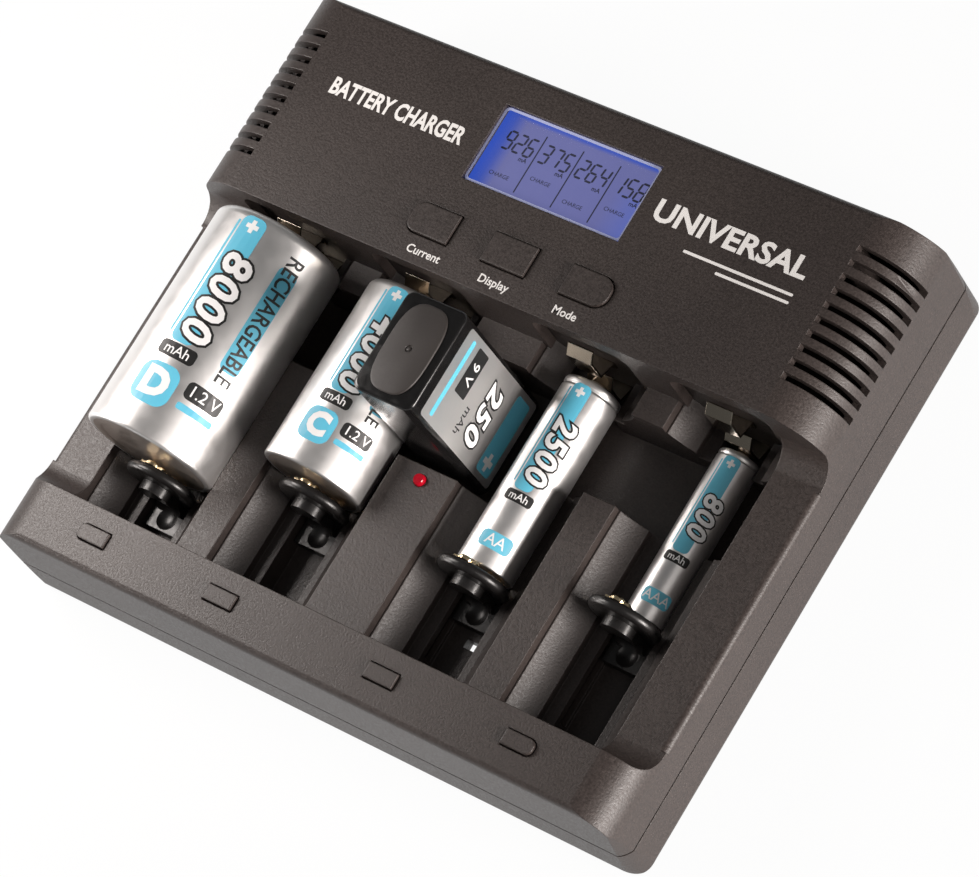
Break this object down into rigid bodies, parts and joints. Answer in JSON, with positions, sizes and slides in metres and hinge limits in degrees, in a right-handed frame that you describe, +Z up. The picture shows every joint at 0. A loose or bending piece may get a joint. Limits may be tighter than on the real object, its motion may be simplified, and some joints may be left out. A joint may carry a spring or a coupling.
{
  "type": "aa battery charger",
  "caption": "Low black desktop charger with stepped bays, sprung sliding contacts, a hooded blue display and keys, shown loaded with round cells and an upright block cell.",
  "frame": {"origin": "middle of the footprint at table level", "axes": "+X right along the front, +Y from the front bar to the rear hood, +Z up"},
  "size_m": [0.183, 0.153, 0.0532],
  "materials": {
    "case_plastic": "fine grain, satin",
    "key_plastic": "satin",
    "liner_plastic": "satin black",
    "gold_plate": "gold-plated spring metal",
    "steel": "zinc-plated wire and screws",
    "clear_window": "clear acrylic, polished",
    "display_blue": "blue backlit display",
    "circuit_board": "solder-masked board",
    "part_black": "moulded black",
    "red_lamp": "clear red, lit",
    "foot_rubber": "matt rubber",
    "cell_sleeve": "silver printed film over steel",
    "block_sleeve": "silver printed film, black end plate"
  },
  "bodies": {
    "case": {"base_tray": "case_plastic", "top_cover": "case_plastic", "bay_liner": "liner_plastic", "lcd_window": "clear_window", "lcd_panel": "display_blue", "control_board": "circuit_board", "power_board": "circuit_board", "bay_key_board": "circuit_board", "control_switches": "part_black", "bay_switches": "part_black", "upper_contacts": "gold_plate", "lower_contacts": "gold_plate", "block_contacts": "gold_plate", "signal_lamp": "red_lamp", "power_inlet": "part_black", "case_screws": "steel", "board_screws": "steel", "rubber_feet": "foot_rubber", "d_cell": "cell_sleeve", "c_cell": "cell_sleeve", "aa_cell": "cell_sleeve", "aaa_cell": "cell_sleeve", "block_cell": "block_sleeve", "slider_spring_1": "steel", "slider_spring_2": "steel", "slider_spring_3": "steel", "slider_spring_4": "steel"},
    "carriage_1": {"slider_1": "liner_plastic", "slider_contact_1": "gold_plate"},
    "carriage_2": {"slider_2": "liner_plastic", "slider_contact_2": "gold_plate"},
    "carriage_3": {"slider_3": "liner_plastic", "slider_contact_3": "gold_plate"},
    "carriage_4": {"slider_4": "liner_plastic", "slider_contact_4": "gold_plate"},
    "current_key_body": {"current_key": "key_plastic"},
    "display_key_body": {"display_key": "key_plastic"},
    "mode_key_body": {"mode_key": "key_plastic"},
    "bay_key_1_body": {"bay_key_1": "key_plastic"},
    "bay_key_2_body": {"bay_key_2": "key_plastic"},
    "bay_key_3_body": {"bay_key_3": "key_plastic"},
    "bay_key_4_body": {"bay_key_4": "key_plastic"}
  },
  "joints": [
    {"name": "slider_1_slide", "type": "slide", "parent": "case", "child": "carriage_1", "axis": [0, -1, 0], "range_m": [0, 0.0047], "stiffness_N_per_m": 60, "springref_m": -0.02, "deforming": ["slider_spring_1"]},
    {"name": "slider_2_slide", "type": "slide", "parent": "case", "child": "carriage_2", "axis": [0, -1, 0], "range_m": [0, 0.0162], "stiffness_N_per_m": 60, "springref_m": -0.02, "deforming": ["slider_spring_2"]},
    {"name": "slider_3_slide", "type": "slide", "parent": "case", "child": "carriage_3", "axis": [0, -1, 0], "range_m": [0, 0.0157], "stiffness_N_per_m": 60, "springref_m": -0.02, "deforming": ["slider_spring_3"]},
    {"name": "slider_4_slide", "type": "slide", "parent": "case", "child": "carriage_4", "axis": [0, -1, 0], "range_m": [0, 0.0217], "stiffness_N_per_m": 60, "springref_m": -0.02, "deforming": ["slider_spring_4"]},
    {"name": "current_key_press", "type": "slide", "parent": "case", "child": "current_key_body", "axis": [0, 0, -1], "range_m": [0, 0.0006], "stiffness_N_per_m": 300, "springref_m": -0.0006},
    {"name": "display_key_press", "type": "slide", "parent": "case", "child": "display_key_body", "axis": [0, 0, -1], "range_m": [0, 0.0006], "stiffness_N_per_m": 300, "springref_m": -0.0006},
    {"name": "mode_key_press", "type": "slide", "parent": "case", "child": "mode_key_body", "axis": [0, 0, -1], "range_m": [0, 0.0006], "stiffness_N_per_m": 300, "springref_m": -0.0006},
    {"name": "bay_key_1_press", "type": "slide", "parent": "case", "child": "bay_key_1_body", "axis": [0, 0, -1], "range_m": [0, 0.0006], "stiffness_N_per_m": 300, "springref_m": -0.0006},
    {"name": "bay_key_2_press", "type": "slide", "parent": "case", "child": "bay_key_2_body", "axis": [0, 0, -1], "range_m": [0, 0.0006], "stiffness_N_per_m": 300, "springref_m": -0.0006},
    {"name": "bay_key_3_press", "type": "slide", "parent": "case", "child": "bay_key_3_body", "axis": [0, 0, -1], "range_m": [0, 0.0006], "stiffness_N_per_m": 300, "springref_m": -0.0006},
    {"name": "bay_key_4_press", "type": "slide", "parent": "case", "child": "bay_key_4_body", "axis": [0, 0, -1], "range_m": [0, 0.0006], "stiffness_N_per_m": 300, "springref_m": -0.0006}
  ]
}
